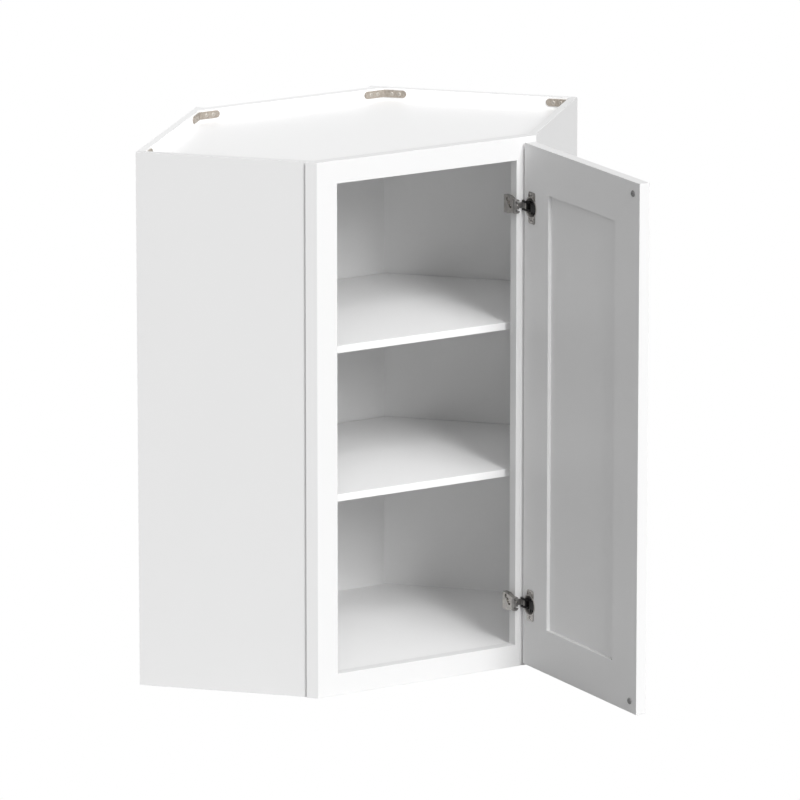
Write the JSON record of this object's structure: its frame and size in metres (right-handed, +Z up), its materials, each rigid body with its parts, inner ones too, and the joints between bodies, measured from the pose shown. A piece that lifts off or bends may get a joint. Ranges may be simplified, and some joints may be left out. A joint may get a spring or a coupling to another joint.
{
  "type": "corner wall cabinet",
  "caption": "White diagonal corner wall cabinet with a face frame, inner shelves and a right-hung recessed-panel door on soft-close cup hinges.",
  "frame": {"origin": "middle of the underside of the face frame's bottom rail, half-way through the frame's thickness", "axes": "+X to the right along the face frame, +Y into the cabinet towards the room's corner, +Z up; at rest the door stands open at a right angle to the face frame"},
  "size_m": [0.8552, 0.8478, 0.9144],
  "materials": {
    "white_paint": "satin white paint on wood",
    "white_lining": "satin white lining on plywood",
    "nickel": "nickel-plated steel",
    "plated_bracket": "yellowish zinc-plated steel",
    "black_plastic": "matt black plastic",
    "clear_rubber": "soft translucent rubber"
  },
  "bodies": {
    "cabinet": {"left_side_panel": "white_paint", "right_side_panel": "white_paint", "left_wall_panel": "white_lining", "right_wall_panel": "white_lining", "diagonal_back_panel": "white_lining", "bottom_panel": "white_lining", "top_panel": "white_lining", "face_frame_left_stile": "white_paint", "face_frame_right_stile": "white_paint", "face_frame_top_rail": "white_paint", "face_frame_bottom_rail": "white_paint", "lower_shelf": "white_lining", "upper_shelf": "white_lining", "lower_shelf_support_left_side": "nickel", "lower_shelf_support_left_wall": "nickel", "lower_shelf_support_right_side": "nickel", "lower_shelf_support_right_wall": "nickel", "upper_shelf_support_left_side": "nickel", "upper_shelf_support_left_wall": "nickel", "upper_shelf_support_right_side": "nickel", "upper_shelf_support_right_wall": "nickel", "top_bracket_front_left": "plated_bracket", "top_bracket_left": "plated_bracket", "top_bracket_back_left": "plated_bracket", "top_bracket_back_right": "plated_bracket", "top_bracket_right": "plated_bracket", "top_bracket_front_right": "plated_bracket", "bottom_bracket_left": "plated_bracket", "bottom_bracket_back_left": "plated_bracket", "bottom_bracket_back_right": "plated_bracket", "bottom_bracket_right": "plated_bracket", "upper_hinge_base_plate": "nickel", "upper_hinge_arm": "nickel", "upper_hinge_pin": "nickel", "upper_hinge_frame_screw": "nickel", "upper_hinge_adjust_screw": "nickel", "lower_hinge_base_plate": "nickel", "lower_hinge_arm": "nickel", "lower_hinge_pin": "nickel", "lower_hinge_frame_screw": "nickel", "lower_hinge_adjust_screw": "nickel"},
    "door": {"door_hinge_stile": "white_paint", "door_free_stile": "white_paint", "door_top_rail": "white_paint", "door_bottom_rail": "white_paint", "door_panel": "white_paint", "upper_door_bumper": "clear_rubber", "lower_door_bumper": "clear_rubber", "upper_hinge_cup": "nickel", "upper_hinge_link": "black_plastic", "upper_hinge_damper_body": "black_plastic", "upper_hinge_cup_screw_upper": "nickel", "upper_hinge_cup_screw_lower": "nickel", "lower_hinge_cup": "nickel", "lower_hinge_link": "black_plastic", "lower_hinge_damper_body": "black_plastic", "lower_hinge_cup_screw_upper": "nickel", "lower_hinge_cup_screw_lower": "nickel"},
    "upper_plunger": {"upper_hinge_damper_plunger": "black_plastic"},
    "lower_plunger": {"lower_hinge_damper_plunger": "black_plastic"}
  },
  "joints": [
    {"name": "door_hinge", "type": "hinge", "parent": "cabinet", "child": "door", "pos_m": [0.1841, -0.0126, 0.45575], "axis": [0, 0, 1], "range_deg": [-90, 15]},
    {"name": "upper_damper_slide", "type": "slide", "parent": "door", "child": "upper_plunger", "axis": [0, 1, 0], "range_m": [-0.0041, 0.0007]},
    {"name": "lower_damper_slide", "type": "slide", "parent": "door", "child": "lower_plunger", "axis": [0, 1, 0], "range_m": [-0.0041, 0.0007]}
  ],
  "couplings": [
    {"joint": "upper_damper_slide", "follows": "door_hinge", "m_per_rad": 0.0025465},
    {"joint": "lower_damper_slide", "follows": "door_hinge", "m_per_rad": 0.0025465}
  ]
}
